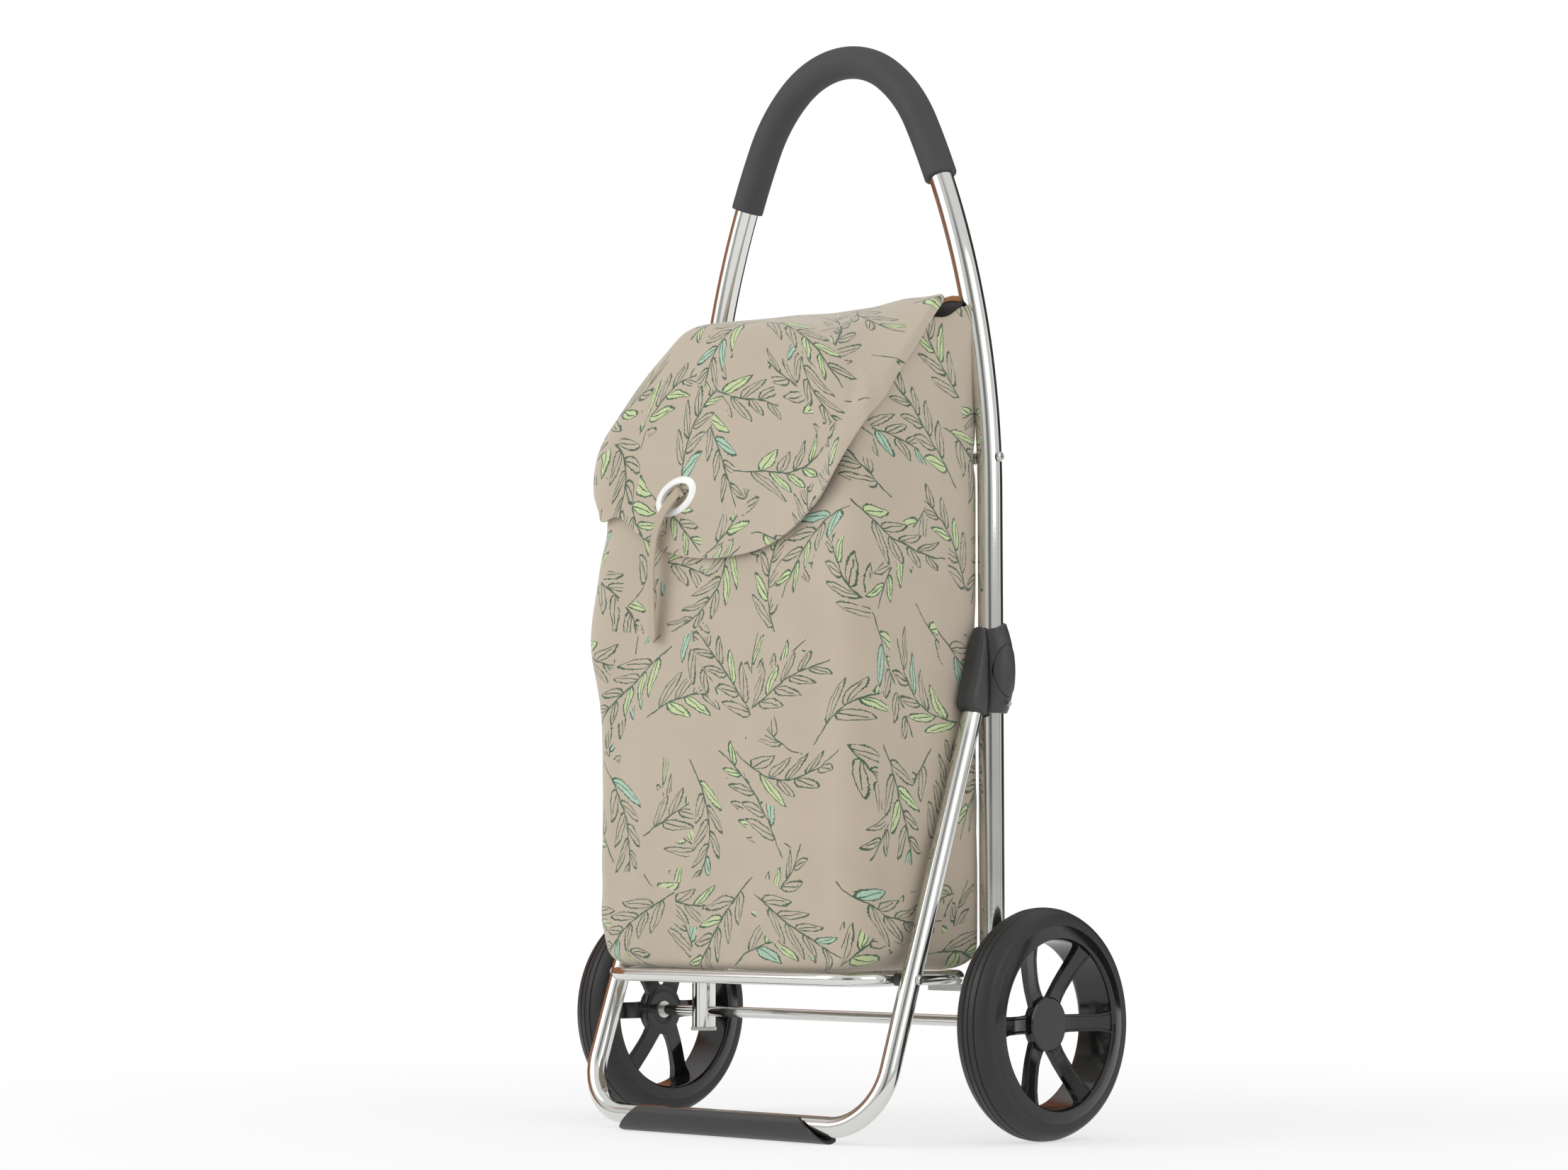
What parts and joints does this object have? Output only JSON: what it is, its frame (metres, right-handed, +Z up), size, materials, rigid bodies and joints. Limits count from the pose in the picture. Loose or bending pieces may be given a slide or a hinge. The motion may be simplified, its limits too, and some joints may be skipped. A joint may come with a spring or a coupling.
{
  "type": "shopping trolley on wheels",
  "caption": "Folding two-wheeled shopping trolley: bent tube handle hoop, hinged front leg with loading ring, fabric bag with a flap, eyelet and closing strap.",
  "frame": {"origin": "on the floor, midway between the foot's front and the wheels' backs, in the plane of symmetry", "axes": "+X along the axle to the right, +Y to the back, +Z up; the bag's flap and foot are at the front, -Y"},
  "size_m": [0.512, 0.273, 0.992],
  "materials": {
    "chromed_tube": "polished chromed steel tube",
    "bright_steel": "zinc plated steel",
    "foam_grip": "soft matt foam",
    "grey_plastic": "satin moulded plastic",
    "black_plastic": "satin moulded plastic",
    "pale_plastic": "smooth moulded plastic",
    "tyre": "satin soft tyre",
    "wheel_plastic": "glossy moulded plastic",
    "bearing_plastic": "slippery moulded plastic",
    "printed_cloth": "printed padded woven cloth",
    "webbing": "folded woven tape",
    "board": "stiff plastic sheet",
    "eyelet_metal": "bright plated steel"
  },
  "bodies": {
    "frame": {"handle_hoop": "chromed_tube", "handle_grip": "foam_grip", "tube_plugs": "pale_plastic", "cross_bar": "chromed_tube", "cross_bar_screws": "bright_steel", "clip_left": "grey_plastic", "clip_right": "grey_plastic", "clip_rivets": "bright_steel", "hinge_pins": "bright_steel", "button_springs": "bright_steel", "ring_rests": "grey_plastic", "axle": "chromed_tube", "axle_washers": "bright_steel", "axle_clips": "bright_steel", "bag_body": "printed_cloth", "bag_loops": "webbing"},
    "legs": {"leg_frame": "chromed_tube", "leg_ends": "grey_plastic", "foot_sleeve": "black_plastic", "ring_spacers": "grey_plastic", "ring_screws": "bright_steel"},
    "platform": {"loading_ring": "chromed_tube", "bag_board": "board"},
    "wheel_left": {"tyre_left": "tyre", "rim_left": "wheel_plastic", "bush_left": "bearing_plastic", "hub_cap_left": "wheel_plastic"},
    "wheel_right": {"tyre_right": "tyre", "rim_right": "wheel_plastic", "bush_right": "bearing_plastic", "hub_cap_right": "wheel_plastic"},
    "flap": {"bag_flap": "printed_cloth", "eyelet": "eyelet_metal", "closing_strap": "webbing"},
    "release_left": {"button_left": "grey_plastic"},
    "release_right": {"button_right": "grey_plastic"}
  },
  "joints": [
    {"name": "leg_fold", "type": "hinge", "parent": "frame", "child": "legs", "pos_m": [0, 0.01087, 0.378], "axis": [1, 0, 0], "range_deg": [0, 19.6], "deforming": ["bag_body"]},
    {"name": "ring_fold", "type": "hinge", "parent": "legs", "child": "platform", "pos_m": [0, -0.07424, 0.139], "axis": [1, 0, 0], "range_deg": [0, 70.4]},
    {"name": "wheel_left_spin", "type": "hinge", "parent": "frame", "child": "wheel_left", "pos_m": [-0.235, 0.03307, 0.1], "axis": [1, 0, 0], "continuous": true},
    {"name": "wheel_right_spin", "type": "hinge", "parent": "frame", "child": "wheel_right", "pos_m": [0.235, 0.03307, 0.1], "axis": [1, 0, 0], "continuous": true},
    {"name": "flap_open", "type": "hinge", "parent": "frame", "child": "flap", "pos_m": [0, 0.01607, 0.735], "axis": [-1, 0, 0], "range_deg": [0, 80]},
    {"name": "release_left_press", "type": "slide", "parent": "frame", "child": "release_left", "axis": [1, 0, 0], "range_m": [0, 0.0025], "stiffness_N_per_m": 800, "springref_m": -0.001, "deforming": ["button_springs"]},
    {"name": "release_right_press", "type": "slide", "parent": "frame", "child": "release_right", "axis": [-1, 0, 0], "range_m": [0, 0.0025], "stiffness_N_per_m": 800, "springref_m": -0.001, "deforming": ["button_springs"]}
  ],
  "couplings": [
    {"joint": "ring_fold", "follows": "leg_fold", "ratio": 3.5917}
  ]
}
